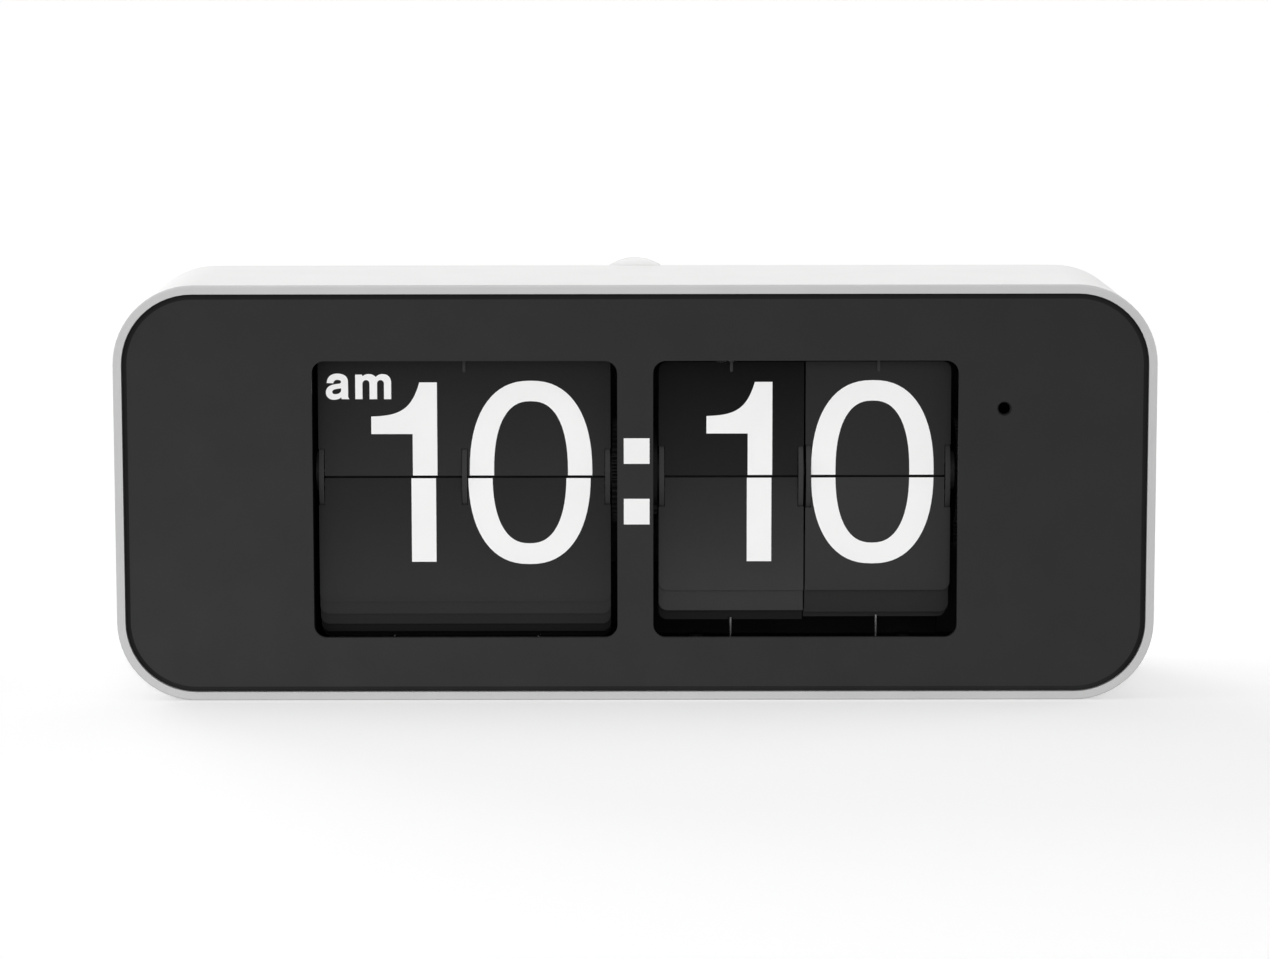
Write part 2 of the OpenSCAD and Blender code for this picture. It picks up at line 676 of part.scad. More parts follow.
module right_plate() color("#202022") {
    plate(right_x, set_back) {
        translate([ay, az + carry_d]) circle(shaft_r + run_fit);
        translate([ay, az - carry_d]) circle(shaft_r + run_fit);
        translate([ay + set_d, az]) circle(shaft_r + run_fit);
        for (p = move_holes) translate(p) circle(hole_r);
    }
    translate([0, ay + idler_d, az]) rod_x(drive_x - gear_gap, right_x - drive_x + gear_gap + eps, shaft_r);
}
module top_bar() color("#202022") difference() {
    translate([left_x, bar_y0, bar_z]) cube([right_x + flange_w - left_x, ay + bar_w - bar_y0, plate_t]);
    for (p = all_feet) if (p[2] > az) bore(p[0], p[1], bar_z, plate_t, hole_r);
    for (x = catch_x) bore(x, catch_screw_y, bar_z, plate_t, hole_r);
}
module base_tray() color("#202022") {
    tx = left_x - tray_over;
    tw = right_x + flange_w + tray_over - tx;
    difference() {
        translate([tx, tray_y0, tray_z]) cube([tw, tray_y1 - tray_y0, tray_t]);
        for (x = post_x, y = post_y) bore(x, y, tray_z, tray_t, hole_r);
        for (p = all_feet) if (p[2] < az) bore(p[0], p[1], tray_z, tray_t, hole_r);
        for (g = guides) bore(g[0], ay - guide_fwd, tray_z, tray_t, guide_r + seat_fit);
    }
    translate([hx0, tray_y1 - tray_t, tray_top - eps]) cube([ux1 - hx0, tray_t, tray_wall_h]);
}
// pins that stand in the tray, one under each figure
module guide_pins() color("#b4b6b8") for (g = guides)
    translate([g[0], ay - guide_fwd, tray_z]) cylinder(r = guide_r, h = az - g[1] - tray_z);
module tray_screws() color("#8c8c8c") for (x = post_x, y = post_y)
    translate([x, y, tray_top]) screw_down(tray_t + post_h - blind_floor - blind_room);
module chassis_screws() color("#8c8c8c") for (p = all_feet)
    if (p[2] < az) translate([p[0], p[1], p[2] + plate_t]) screw_down(plate_t + tray_t);
    else translate([p[0], p[1], bar_z + plate_t]) screw_down(2 * plate_t);

// leaf catches: thin spring strips that hang before the upper leaves' tips
catch_x = [(hx0 + hx1) / 2, (tx0 + tx1) / 2, (ux0 + ux1) / 2];
catch_pitch = [hour_pitch, tens_pitch, units_pitch];
catch_screw_y = bar_y0 + catch_back;
module catch(i) {
    front = ay - pin_r * cos(catch_pitch[i] / 2) - leaf_t / 2 - catch_gap - catch_t;
    top = bar_z + plate_t;
    color("#b8b8b4") {
        translate([catch_x[i], 0, az + catch_tip + catch_w / 2]) along_y(front, catch_t) {
            circle(catch_w / 2, $fn = 16);
            translate([-catch_w / 2, 0]) square([catch_w, top - az - catch_tip - catch_w / 2]);
        }
        difference() {
            translate([catch_x[i] - head_r, front, top])
                cube([2 * head_r, catch_screw_y + head_r - front, catch_t]);
            bore(catch_x[i], catch_screw_y, top, catch_t, hole_r);
        }
    }
}
module hour_leaf_catch() catch(0);
module tens_leaf_catch() catch(1);
module units_leaf_catch() catch(2);
module catch_screws() color("#8c8c8c") for (x = catch_x)
    translate([x, catch_screw_y, bar_z + plate_t + catch_t]) screw_down(plate_t + catch_t + 1);

// the fixed axle, grooved for its clips
clip_r = axle_r - clip_groove;
clip_x = [left_x - end_play - clip_t, right_x + plate_t + end_play];
module main_axle() color("#b4b6b8") at_axle() difference() {
    rod_x(left_x - axle_end, right_x + plate_t - left_x + 2 * axle_end, axle_r);
    for (x = clip_x) along_x(x - eps, clip_t + 2 * eps) tube2(axle_r + 1, clip_r);
}
module axle_clips() color("#8c8c8c") at_axle() for (x = clip_x) along_x(x, clip_t) difference() {
    circle(axle_r + clip_w);
    circle(clip_r + seat_fit);
    translate([0, -axle_r - clip_w / 2]) square([1.6 * clip_r, 2 * axle_r + clip_w], center = true);
}

// movement on the right plate's outer side
move_z = az - carry_d - move_drop;
ear_dy = move_d / 2 + head_r + ear_gap;
move_holes = [[ay - ear_dy, move_z], [ay + ear_dy, move_z]];
module movement_housing() color("#26282a") difference() {
    union() {
        along_x(right_x + plate_t, move_t) translate([ay, move_z]) rounded(move_d, move_h, move_r);
        along_x(right_x + plate_t, ear_t) translate([ay, move_z])
            rounded(2 * (ear_dy + ear_end), 4 * head_r, head_r);
        along_x(right_x + plate_t + move_t - eps, cap_h) translate([ay, move_z]) circle(cap_r);
    }
    for (p = move_holes) along_x(right_x, plate_t + ear_t + 1) translate(p) circle(hole_r);
    along_x(right_x, plate_t + move_t / 2 + 1) translate([ay, az - carry_d]) circle(shaft_r + run_fit);
}
module movement_screws() color("#8c8c8c") for (p = move_holes)
    translate([right_x + plate_t + ear_t, p[0], p[1]]) rotate([0, 90, 0]) screw(plate_t + ear_t);

// case
module shell_profile() {
    rear = case_d - cover_inset - cover_t;
    translate([-edge_r, case_d - edge_r]) circle(edge_r);
    polygon([[0, trim_d], [0, case_d - edge_r], [-edge_r, case_d - edge_r], [-edge_r, case_d],
        [-wall, case_d], [-wall, rear], [-wall - ledge_w, rear], [-wall - ledge_w, rear - ledge_t],
        [-wall, rear - ledge_t - ledge_w], [-wall, trim_d + ledge_t + ledge_w],
        [-wall - ledge_w, trim_d + ledge_t], [-wall - ledge_w, trim_d]]);
}
// the ring on the shell's front edge, which frames the panel
module trim_profile() {
    translate([-edge_r, edge_r]) circle(edge_r);
    polygon([[-edge_r, 0], [-edge_r, edge_r], [0, edge_r], [0, trim_d], [-wall, trim_d], [-wall, 0]]);
}
module trim_ring() color("#b4b4b4") translate([0, y0, case_h / 2])
    ring_sweep(case_w, case_h, case_r) trim_profile();
module case_shell() color("#dcdcda") difference() {
    union() {
        translate([0, y0, case_h / 2]) ring_sweep(case_w, case_h, case_r) shell_profile();
        for (c = corners) {
            rod_y(c[0], cover_y - boss_l, c[1], boss_l, boss_r);
            rod_y(c[0], panel_back, c[1], ledge_t, peg_r + screw_fit + ring_w);
        }
        for (x = post_x, y = post_y) translate([x, y, wall - 0.5]) cylinder(r = post_r, h = post_h + 0.5);
    }
    for (c = corners) {
        rod_y(c[0], cover_y - screw_grip - 1, c[1], screw_grip + 2, tap_r);
        rod_y(c[0], panel_back - 1, c[1], ledge_t + 2, peg_r + screw_fit);
        rod_y(c[0], panel_back + ledge_t, c[1], ledge_w + 1, head_r + screw_fit);
    }
    for (x = post_x, y = post_y) bore(x, y, wall, post_h, tap_r);
}
module panel_edge() polygon([[0, bevel_d], [0, panel_t], [-bevel_w - 2, panel_t], [-bevel_w - 2, 0],
    [-bevel_w, 0]]);
module front_panel() color("#3a3a3c") {
    pw = case_w - 2 * wall - 2 * panel_gap;
    ph = case_h - 2 * wall - 2 * panel_gap;
    pr = case_r - wall - panel_gap;
    translate([0, panel_y, case_h / 2]) ring_sweep(pw, ph, pr) panel_edge();
    difference() {
        translate([0, 0, case_h / 2]) along_y(panel_y, panel_t)
            rounded(pw - 2 * bevel_w - 2, ph - 2 * bevel_w - 2, pr - bevel_w - 1);
        for (s = [-1, 1]) translate([s * win_x, 0, win_z])
            along_y(panel_y - 1, panel_t + 2) rounded(win_w, win_h, win_r);
        rod_y(peep_x, panel_y - 1, az + peep_rise, panel_t + 2, peep_d / 2);
        translate([peep_x, panel_y - eps, az + peep_rise]) rotate([-90, 0, 0])
            cylinder(d1 = peep_sink_d, d2 = peep_d, h = panel_t / 2);
    }
    difference() {
        for (c = corners) rod_y(c[0], panel_back - eps, c[1], ledge_t + eps, peg_r);
        for (c = corners) rod_y(c[0], panel_back + blind_floor, c[1], ledge_t, tap_r);
    }
    for (z = [win_z - win_h / 2 - rib_off, win_z + win_h / 2 + rib_off - rib_t])
        translate([-win_x - win_w / 2, panel_back - eps, z]) cube([2 * win_x + win_w, rib_h + eps, rib_t]);
}
module panel_screws() color("#8c8c8c") for (c = corners)
    translate([c[0], panel_back + ledge_t, c[1]]) screw_front(ledge_t - blind_floor - blind_room);

// rear cover with the battery bay, the setting wheel's slot and the hanger's posts
slot_h = 2 * sqrt(pow(wheel_r + door_gap, 2) - pow(cover_y - wheel_y, 2)) + 2 * door_gap;
module bay2(g) rounded(bay_w + 2 * g, bay_h + 2 * g, bay_r);
module rear_cover() color("#d6d6d4") difference() {
    union() {
        translate([0, 0, case_h / 2]) along_y(cover_y, cover_t) rounded(case_w - 2 * wall - 2 * cover_gap,
            case_h - 2 * wall - 2 * cover_gap, case_r - wall - cover_gap);
        translate([-cell_x, 0, bay_z])
            along_y(cover_y - bay_d - bay_wall, bay_d + bay_wall + eps) bay2(bay_wall);
        for (s = [-1, 1]) rod_y(s * hang_screw_dx, cover_face - eps, hang_screw_z, hang_gap + eps, boss_r);
    }
    translate([-cell_x, 0, bay_z]) along_y(cover_y - bay_d, bay_d + cover_t + 1) bay2(0);
    translate([-cell_x, 0, bay_z]) along_y(cover_face - door_t, door_t + 1) bay2(door_lip + door_gap);
    translate([wheel_x - door_gap, cover_y - 1, az - slot_h / 2])
        cube([wheel_t + 2 * door_gap, cover_t + 2, slot_h]);
    for (c = corners) rod_y(c[0], cover_y - 1, c[1], cover_t + 2, hole_r);
    for (s = [-1, 1])
        rod_y(s * hang_screw_dx, cover_y + 2 * blind_floor, hang_screw_z, cover_t + hang_gap, tap_r);
}
module rear_cover_screws() color("#8c8c8c") for (c = corners)
    translate([c[0], cover_face, c[1]]) screw_front(cover_t + screw_grip);
module battery_door() color("#d6d6d4") {
    translate([-cell_x, 0, bay_z]) {
        along_y(cover_face - door_t, door_t) bay2(door_lip);
        for (k = [-2:2]) translate([-grip_w / 2, cover_face - eps, k * grip_pitch + bay_h / 2 - grip_drop])
            cube([grip_w, grip_h, grip_t]);
    }
}
module hanger2() difference() {
    union() {
        circle(hang_r);
        translate([-hang_r, -hang_drop]) square([2 * hang_r, hang_drop]);
    }
    translate([0, key_z - hang_z]) circle(key_d / 2);
    translate([-key_slot / 2, key_z - hang_z]) square([key_slot, key_rise]);
    translate([0, key_z - hang_z + key_rise]) circle(key_slot / 2);
    for (s = [-1, 1]) translate([s * hang_screw_dx, hang_screw_z - hang_z]) circle(hole_r);
}
module wall_hanger() color("#d6d6d4") translate([0, 0, hang_z])
    along_y(hang_y, hang_t) hanger2();
module hanger_screws() color("#8c8c8c") for (s = [-1, 1])
    translate([s * hang_screw_dx, hang_y + hang_t, hang_screw_z]) screw_front(hang_t + hang_gap + 1);

// battery
module battery_cell() color("#3b4a3f") translate([-cell_x, cell_y, cell_z0]) rotate_extrude() polygon([[0, 0],
    [cell_r - cell_bevel, 0], [cell_r, cell_bevel], [cell_r, cell_l - pole_h - cell_bevel],
    [cell_r - cell_bevel, cell_l - pole_h], [pole_r, cell_l - pole_h], [pole_r, cell_l], [0, cell_l]]);
module contact(z, s) {
    crest = contact_room - contact_gap;
    along_x(-cell_x - contact_w / 2, contact_w) translate([cell_y, z]) mirror([0, s > 0 ? 0 : 1])
        polygon([[-contact_l / 2, 0], [contact_l / 2, 0], [contact_l / 2, contact_t], [bend_l / 2, contact_t],
            [bend_l / 4, crest], [-bend_l / 4, crest], [-bend_l / 2, contact_t],
            [-contact_l / 2, contact_t]]);
}
module battery_contact_minus() color("#b8b8b4") contact(bay_z - bay_h / 2, 1);
module battery_contact_plus() color("#b8b8b4") contact(bay_z + bay_h / 2, -1);

case_shell();
trim_ring();
front_panel();
panel_screws();
rear_cover();
rear_cover_screws();
wall_hanger();
hanger_screws();
battery_cell();
battery_contact_plus();
battery_contact_minus();
battery_door();
base_tray();
guide_pins();
tray_screws();
left_plate();
centre_plate();
right_plate();
top_bar();
chassis_screws();
hour_leaf_catch();
tens_leaf_catch();
units_leaf_catch();
catch_screws();
main_axle();
axle_clips();
movement_housing();
movement_screws();
motor_pinion();
setting_idler();
setting_wheel();
hour_carry_pinion();
tens_carry_pinion();
hour_drum();
hour_gear();
hour_upper_leaf();
hour_lower_leaf();
hour_waiting_leaves();
hour_spent_leaves();
tens_drum();
tens_gear();
hour_carry_cam();
tens_upper_leaf();
tens_lower_leaf();
tens_waiting_leaves();
tens_spent_leaves();
units_drum();
units_drive_gear();
tens_carry_cam();
units_upper_leaf();
units_lower_leaf();
units_waiting_leaves();
units_spent_leaves();
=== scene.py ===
"""Looks of the flip wall clock: finishes, printed figures, studio light and camera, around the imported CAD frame."""

import json
import math

import bmesh
import bpy
from mathutils import Matrix, Quaternion, Vector
from mathutils.geometry import tessellate_polygon


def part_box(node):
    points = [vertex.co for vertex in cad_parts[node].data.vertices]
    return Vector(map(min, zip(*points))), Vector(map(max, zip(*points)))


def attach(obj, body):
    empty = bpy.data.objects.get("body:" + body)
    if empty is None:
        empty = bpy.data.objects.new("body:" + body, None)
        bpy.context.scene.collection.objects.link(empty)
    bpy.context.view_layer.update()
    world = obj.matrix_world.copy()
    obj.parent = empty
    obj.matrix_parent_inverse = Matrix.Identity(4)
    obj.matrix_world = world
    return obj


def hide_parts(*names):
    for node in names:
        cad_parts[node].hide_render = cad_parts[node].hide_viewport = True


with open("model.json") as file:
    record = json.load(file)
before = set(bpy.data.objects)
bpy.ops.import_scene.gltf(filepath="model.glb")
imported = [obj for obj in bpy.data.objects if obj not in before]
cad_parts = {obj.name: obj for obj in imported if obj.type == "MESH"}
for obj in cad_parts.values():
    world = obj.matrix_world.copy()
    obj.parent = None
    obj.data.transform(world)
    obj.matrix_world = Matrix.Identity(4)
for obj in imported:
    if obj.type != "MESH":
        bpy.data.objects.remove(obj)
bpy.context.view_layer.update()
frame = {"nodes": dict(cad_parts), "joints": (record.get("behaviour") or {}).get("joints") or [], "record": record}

MM = 0.001
JOINTS = {joint["name"]: joint for joint in frame["joints"]}
AXLE = Vector(JOINTS["hour_step"]["pos_m"])

# ---------------------------------------------------------------- shader nodes

MIX_FACTOR, MIX_A, MIX_B, MIX_RESULT = 0, 6, 7, 2       # a Mix node's sockets for colours


def connect(tree, value, socket):
    """Links a socket to another, or sets a plain value on it."""
    if isinstance(value, bpy.types.NodeSocket):
        tree.links.new(value, socket)
    else:
        socket.default_value = value


def math_node(tree, operation, *values):
    """A math node on sockets or plain numbers."""
    node = tree.nodes.new("ShaderNodeMath")
    node.operation = operation
    for socket, value in zip(node.inputs, values):
        connect(tree, value, socket)
    return node.outputs[0]


def vector_node(tree, operation, *values):
    """A vector math node on sockets or plain vectors; SCALE takes a vector and a number."""
    node = tree.nodes.new("ShaderNodeVectorMath")
    node.operation = operation
    sockets = (node.inputs[0], node.inputs["Scale"]) if operation == "SCALE" else node.inputs
    for socket, value in zip(sockets, values):
        connect(tree, value, socket)
    return node.outputs["Value" if operation == "LENGTH" else "Vector"]


def mix_colours(tree, factor, first, second):
    """The first colour where the factor is 0 and the second where it is 1."""
    node = tree.nodes.new("ShaderNodeMix")
    node.data_type = "RGBA"
    for index, value in ((MIX_FACTOR, factor), (MIX_A, first), (MIX_B, second)):
        connect(tree, value, node.inputs[index])
    return node.outputs[MIX_RESULT]


def remap(tree, value, ends, targets):
    """Maps the range between two ends to the one between two targets, and goes no further."""
    node = tree.nodes.new("ShaderNodeMapRange")
    for socket, setting in zip(("From Min", "From Max", "To Min", "To Max"), (*ends, *targets)):
        node.inputs[socket].default_value = setting
    tree.links.new(value, node.inputs["Value"])
    return node.outputs["Result"]


def along(tree, coords, axis):
    """The coordinate along the axis X, Y or Z."""
    node = tree.nodes.new("ShaderNodeSeparateXYZ")
    tree.links.new(coords, node.inputs[0])
    return node.outputs[axis]


def add_noise(tree, coords, scale, detail, stretch):
    """A noise texture in the part's own metres; stretch squeezes it along an axis, for rolled surfaces."""
    noise = tree.nodes.new("ShaderNodeTexNoise")
    noise.inputs["Scale"].default_value = scale
    noise.inputs["Detail"].default_value = detail
    if stretch:
        mapping = tree.nodes.new("ShaderNodeMapping")
        mapping.inputs["Scale"].default_value = stretch
        tree.links.new(coords, mapping.inputs["Vector"])
        coords = mapping.outputs["Vector"]
    tree.links.new(coords, noise.inputs["Vector"])
    return noise.outputs["Fac"]


# ---------------------------------------------------------------- finishes

NOISE_ENDS = (0.3, 0.7)         # most of a noise's values lie between these
MOTTLE_DETAIL, GRAIN_DETAIL = 4.0, 2.0
GRAIN_DEPTH = 0.2 * MM


def finish(name, dark, light, rough, specular=0.5, metallic=0.0, mottle=60.0, grain=2600.0, bump=0.05, stretch=None,
           coat=0.0, painted_light_fades=()):
    """A surface whose colour drifts between two shades, with a fine grain in its roughness and relief.

    Each painted light fade (axis, from, to, share) darkens it evenly along an axis, to where that share of the colour
    is left: painted shade or painted reflection for how the light falls.
    """
    material = bpy.data.materials.new(name)
    material.use_nodes = True
    tree = material.node_tree
    shader = tree.nodes["Principled BSDF"]
    shader.inputs["Specular IOR Level"].default_value = specular
    shader.inputs["Metallic"].default_value = metallic
    shader.inputs["Coat Weight"].default_value = coat
    coords = tree.nodes.new("ShaderNodeTexCoord").outputs["Object"]

    drift = remap(tree, add_noise(tree, coords, mottle, MOTTLE_DETAIL, stretch), NOISE_ENDS, (0, 1))
    colour = mix_colours(tree, drift, (*dark, 1), (*light, 1))
    for axis, start, end, left in painted_light_fades:
        colour = vector_node(tree, "SCALE", colour, remap(tree, along(tree, coords, axis), (start, end), (1, left)))
    tree.links.new(colour, shader.inputs["Base Color"])

    fine = add_noise(tree, coords, grain, GRAIN_DETAIL, stretch)
    tree.links.new(remap(tree, fine, NOISE_ENDS, rough), shader.inputs["Roughness"])
    relief = tree.nodes.new("ShaderNodeBump")
    relief.inputs["Strength"].default_value = bump
    relief.inputs["Distance"].default_value = GRAIN_DEPTH
    tree.links.new(fine, relief.inputs["Height"])
    tree.links.new(relief.outputs["Normal"], shader.inputs["Normal"])
    return material


def grey(value, tint=0.0):
    """A grey, a little warmer for a positive tint."""
    return (value * (1 + tint), value, value * (1 - tint))


CASE_R = 27.5 * MM
LINING = grey(0.005)
LINING_DEPTH = 1.5 * MM         # under the case's outer face
LINING_BACK = 5.0 * MM          # before the cover's back


def line_black(material):
    """Sprays the inside of the rounded case and of its cover black."""
    low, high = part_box("case_shell")
    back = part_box("rear_cover")[1].y - LINING_BACK
    middle, half = (low + high) / 2, (high - low) / 2
    tree = material.node_tree
    base = tree.nodes["Principled BSDF"].inputs["Base Color"]
    coords = tree.nodes.new("ShaderNodeTexCoord").outputs["Object"]
    point = vector_node(tree, "ABSOLUTE", vector_node(tree, "SUBTRACT", coords, middle))
    beyond = vector_node(tree, "SUBTRACT", point, (half.x - CASE_R, 1.0, half.z - CASE_R))
    reach = vector_node(tree, "LENGTH", vector_node(tree, "MAXIMUM", beyond, (0, 0, 0)))
    inside = math_node(tree, "MULTIPLY", math_node(tree, "LESS_THAN", reach, CASE_R - LINING_DEPTH),
                       math_node(tree, "LESS_THAN", along(tree, coords, "Y"), back))
    tree.links.new(mix_colours(tree, inside, base.links[0].from_socket, (*LINING, 1)), base)


SATIN = {"rough": (0.40, 0.50), "bump": 0.06}
CASE_WHITE = (grey(0.845, 0.003), grey(0.865, 0.004))
INK = {"rough": (0.45, 0.55), "specular": 0.3, "grain": 4000, "bump": 0.03}

# Painted shade: the hanger is the case's white plastic, darkened so that its front face, open to the front light,
# renders no brighter than the case's top.
HANGER = finish("hanger_satin_white_painted_shade", grey(0.705, 0.003), grey(0.725, 0.004), **SATIN)
CASE = finish("case_satin_white", *CASE_WHITE, **SATIN)
LINED = finish("case_white_lined_black", *CASE_WHITE, **SATIN)
line_black(LINED)
# The trim's own light grey, with painted shade: darker towards the right and a little lighter along the bottom, for
# how the front light falls on the rim.
TRIM = finish("trim_satin_grey_painted_shade", grey(0.525), grey(0.545), **SATIN,
              painted_light_fades=(("X", 0.0, 0.15, 0.935), ("Z", 0.01, 0.06, 0.96)))
# Painted reflection: the satin black panel darkens towards the right and towards the top, for the studio's soft sheen
# on it.
PANEL = finish("panel_satin_black_painted_sheen", grey(0.0222), grey(0.0252), (0.42, 0.52), specular=0.22, bump=0.08,
               painted_light_fades=(("X", -0.15, 0.15, 0.72), ("Z", 0.02, 0.13, 0.72)))
# Painted shadow: a dull black band for the shade in the gap between the rim and the panel's bevelled edge, lighter
# along the bottom.
EDGE_SHADOW = finish("panel_edge_painted_shadow", grey(0.016), grey(0.019), (0.5, 0.6), specular=0.12,
              painted_light_fades=(("Z", 0.003, 0.012, 0.5),))
PRINT = finish("white_print", grey(0.90, 0.002), grey(0.925, 0.002), **INK)
# Painted shade: the colon is the figures' white print, darkened so that on the open panel it renders no brighter than
# the figures in the recessed windows.
COLON = finish("white_panel_print_painted_shade", grey(0.83, 0.002), grey(0.85, 0.002), **INK)
# The discs' own dark plastic, lightened as a painted highlight for the gleam along their rims.
DRUM = finish("drum_grey_painted_highlight", grey(0.019), grey(0.027), (0.30, 0.42), specular=0.25)
GEAR = finish("gear_black_acetal", grey(0.004), grey(0.007), (0.40, 0.5), specular=0.15)
STEEL = finish("zinc_steel", grey(0.48), grey(0.58), (0.24, 0.38), metallic=1, mottle=300)
BLACKENED = finish("blackened_steel", grey(0.004), grey(0.008), (0.40, 0.52), specular=0.2, mottle=300)
SPRING = finish("spring_steel", grey(0.52), grey(0.62), (0.22, 0.34), metallic=1, stretch=(1, 1, 0.1))
CELL = finish("cell_wrap", (0.035, 0.075, 0.055), (0.045, 0.09, 0.066), (0.22, 0.3), coat=0.3)
HOUSING = finish("housing_black", grey(0.018), grey(0.026), (0.42, 0.55))
CHASSIS = finish("chassis_black", grey(0.004), grey(0.006), (0.5, 0.62), specular=0.12)
BLUED = finish("blued_spring_steel", grey(0.013), grey(0.022), (0.32, 0.45), specular=0.3, mottle=300)

FILM_DRIFT = 0.07               # of the shade, to either side


def film(name, shade, specular=0.20, painted_light_fade=None):
    """The matte black sheet of a leaf; its fade along an axis is painted reflection or painted shade."""
    return finish(name, grey(shade * (1 - FILM_DRIFT)), grey(shade * (1 + FILM_DRIFT)), (0.45, 0.56),
                  specular=specular, mottle=25, grain=1800, bump=0.04, painted_light_fades=(painted_light_fade,) if painted_light_fade else ())


# Painted light: the sheets are lit and shaded copies of one black film, each a little lighter or darker and most
# fading towards one end as painted reflection, and the ones that wait or hang further back are darker with painted
# shade.
LEAF_TOP, LEAF_BOTTOM = AXLE.z + 40 * MM, AXLE.z - 40 * MM
LEAF = film("leaf_film", 0.0110)
NODE_FINISH = {
    "hour_upper_leaf": film("hour_upper_film", 0.0163, painted_light_fade=("Z", AXLE.z, LEAF_TOP, 0.30)),
    "hour_lower_leaf": film("hour_lower_film", 0.0213, painted_light_fade=("Z", LEAF_BOTTOM, AXLE.z, 0.42)),
    "hour_spent_leaves": film("hour_spent_film", 0.0220, painted_light_fade=("Y", AXLE.y - 16 * MM, AXLE.y - 9 * MM, 0.05)),
    "tens_upper_leaf": film("tens_upper_film", 0.0127, specular=0.08, painted_light_fade=("Z", AXLE.z, LEAF_TOP, 0.18)),
    "tens_lower_leaf": film("tens_lower_film", 0.0311, painted_light_fade=("Z", LEAF_BOTTOM, AXLE.z, 0.40)),
    "tens_spent_leaves": film("tens_spent_film", 0.0330, painted_light_fade=("Y", AXLE.y - 12 * MM, AXLE.y - 3 * MM, 0.05)),
    "units_upper_leaf": film("units_upper_film", 0.0163, painted_light_fade=("Z", AXLE.z, LEAF_TOP, 0.70)),
    "units_lower_leaf": film("units_lower_film", 0.0235),
    "units_spent_leaves": film("units_spent_film", 0.0175, painted_light_fade=("Y", AXLE.y, AXLE.y + 8 * MM, 0.05)),
    "hour_leaf_catch": BLUED, "tens_leaf_catch": BLUED, "units_leaf_catch": BLUED,
    "case_shell": LINED, "rear_cover": LINED, "wall_hanger": HANGER,
}
SLOT_FINISH = {
    "case_plastic": CASE, "trim_plastic": TRIM, "panel_plastic": PANEL, "leaf_film": LEAF, "drum_plastic": DRUM,
    "gear_plastic": GEAR, "steel": STEEL, "black_steel": BLACKENED, "spring_steel": SPRING, "cell_wrap": CELL,
    "housing_plastic": HOUSING, "chassis_black": CHASSIS,
}
for subpart in frame["record"]["subparts"]:
    node = subpart["node"]
    materials = frame["nodes"][node].data.materials
    materials.clear()
    materials.append(NODE_FINISH.get(node, SLOT_FINISH[subpart["material_slot"]]))

# ---------------------------------------------------------------- outlines, in millimetres


def bezier(start, *curves, steps=10):
    """Points along cubic curves (handle, handle, end) or straight lines (end,) that follow one another."""
    points = [start]
    for curve in curves:
        if len(curve) == 1:
            points.append(curve[0])
            continue
        ends = (points[-1], *curve)
        for i in range(1, steps + 1):
            t = i / steps
            share = ((1 - t) ** 3, 3 * t * (1 - t) ** 2, 3 * t * t * (1 - t), t ** 3)
            points.append(tuple(sum(s * p[axis] for s, p in zip(share, ends)) for axis in (0, 1)))
    return points


def superellipse(cx, cz, a, b, power, first, last, steps=40):
    """Points on part of a superellipse, from one angle to another."""
    points = []
    for i in range(steps + 1):
        angle = math.radians(first + (last - first) * i / steps)
        c, s = math.cos(angle), math.sin(angle)
        points.append((cx + a * math.copysign(abs(c) ** (2 / power), c),
                       cz + b * math.copysign(abs(s) ** (2 / power), s)))
    return points


def cut(loop, z, keep):
    """The part of a loop above (keep 1) or below (keep -1) a height."""
    out = []
    for p, q in zip(loop, loop[1:] + loop[:1]):
        inside_p, inside_q = keep * (p[1] - z) >= 0, keep * (q[1] - z) >= 0
        if inside_p:
            out.append(p)
        if inside_p != inside_q:
            t = (z - p[1]) / (q[1] - p[1])
            out.append((p[0] + t * (q[0] - p[0]), z))
    return out


def moved(loop, dx, dz):
    return [(x + dx, z + dz) for x, z in loop]


FIGURE_H = 63.2
FIGURE_FOOT = -30.0             # baseline from the axle
STEM_W = 8.57
SPLIT = 0.5                     # from the axle's height to a print's edge

# One's stem and two's foot begin at the origin.
ONE = bezier(
    (0, 0), ((0, 45.1),), ((-14.4, 45.1),), ((-14.4, 51.25),), ((-4.9, 51.5), (-0.4, 53.2), (2.45, FIGURE_H)),
    ((STEM_W, FIGURE_H),), ((STEM_W, 0),), steps=16)
TWO = bezier(
    (1.2, 43.0), ((1.2, 56.5), (9.0, 64.6), (21.2, 64.6)), ((33.0, 64.6), (40.8, 57.2), (40.8, 46.4)),
    ((40.8, 37.0), (35.5, 31.2), (25.5, 24.8)), ((15.0, 18.2), (10.6, 14.0), (9.6, 7.8)),
    ((40.6, 7.8),), ((40.6, 0),), ((0, 0),),
    ((0.2, 13.5), (5.0, 20.5), (17.5, 28.6)), ((28.0, 35.4), (32.2, 39.2), (32.2, 46.2)),
    ((32.2, 52.8), (27.8, 57.2), (20.9, 57.2)), ((13.4, 57.2), (9.4, 52.2), (9.4, 43.0)), steps=16)
# Height of the middle over the axle, half width, half height and power of a zero's two edges
ZERO_OUTER = (1.45, 21.4, 32.3, 2.34)
ZERO_INNER = (1.54, 12.92, 25.05, 2.42)
ARC_SPARE = 15                  # degrees past the split, to be cut off there

